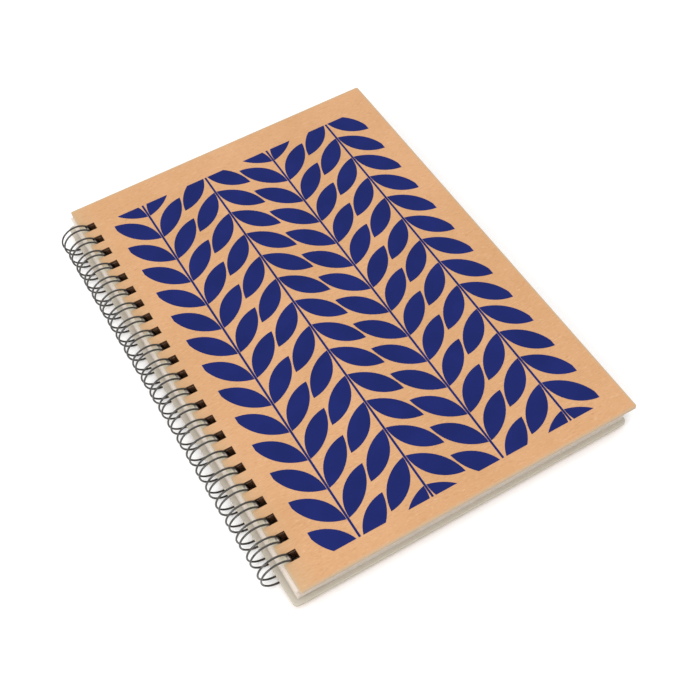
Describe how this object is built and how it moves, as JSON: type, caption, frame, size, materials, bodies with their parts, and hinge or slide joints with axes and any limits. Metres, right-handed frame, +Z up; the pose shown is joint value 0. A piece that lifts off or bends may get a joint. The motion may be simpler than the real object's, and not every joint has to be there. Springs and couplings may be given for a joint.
{
  "type": "spiral notebook",
  "caption": "Hardcover A5 notebook: two board covers and a page block held by one continuous twin-loop wire, with a printed leaf panel on the front.",
  "frame": {"origin": "under the middle of the whole notebook, on the surface it lies on", "axes": "+X from the spine to the fore-edge, +Y from tail to head, +Z up out of the front cover"},
  "size_m": [0.1588, 0.2138, 0.0151],
  "materials": {
    "cover_board": "uncoated brown paper laminated on board",
    "print_ink": "flat navy screen-print ink",
    "page_paper": "cut edges of cream writing paper",
    "binding_wire": "dark bronze-brown coated steel wire"
  },
  "bodies": {
    "book": {"page_block": "page_paper", "wire_binding": "binding_wire"},
    "front": {"front_cover": "cover_board", "leaf_print": "print_ink"},
    "back": {"back_cover": "cover_board"}
  },
  "joints": [
    {"name": "front_cover_turn", "type": "hinge", "parent": "book", "child": "front", "pos_m": [-0.07184, 0, 0.00755], "axis": [0, -1, 0], "range_deg": [0, 195]},
    {"name": "back_cover_turn", "type": "hinge", "parent": "book", "child": "back", "pos_m": [-0.07184, 0, 0.00755], "axis": [0, 1, 0], "range_deg": [0, 190]}
  ]
}
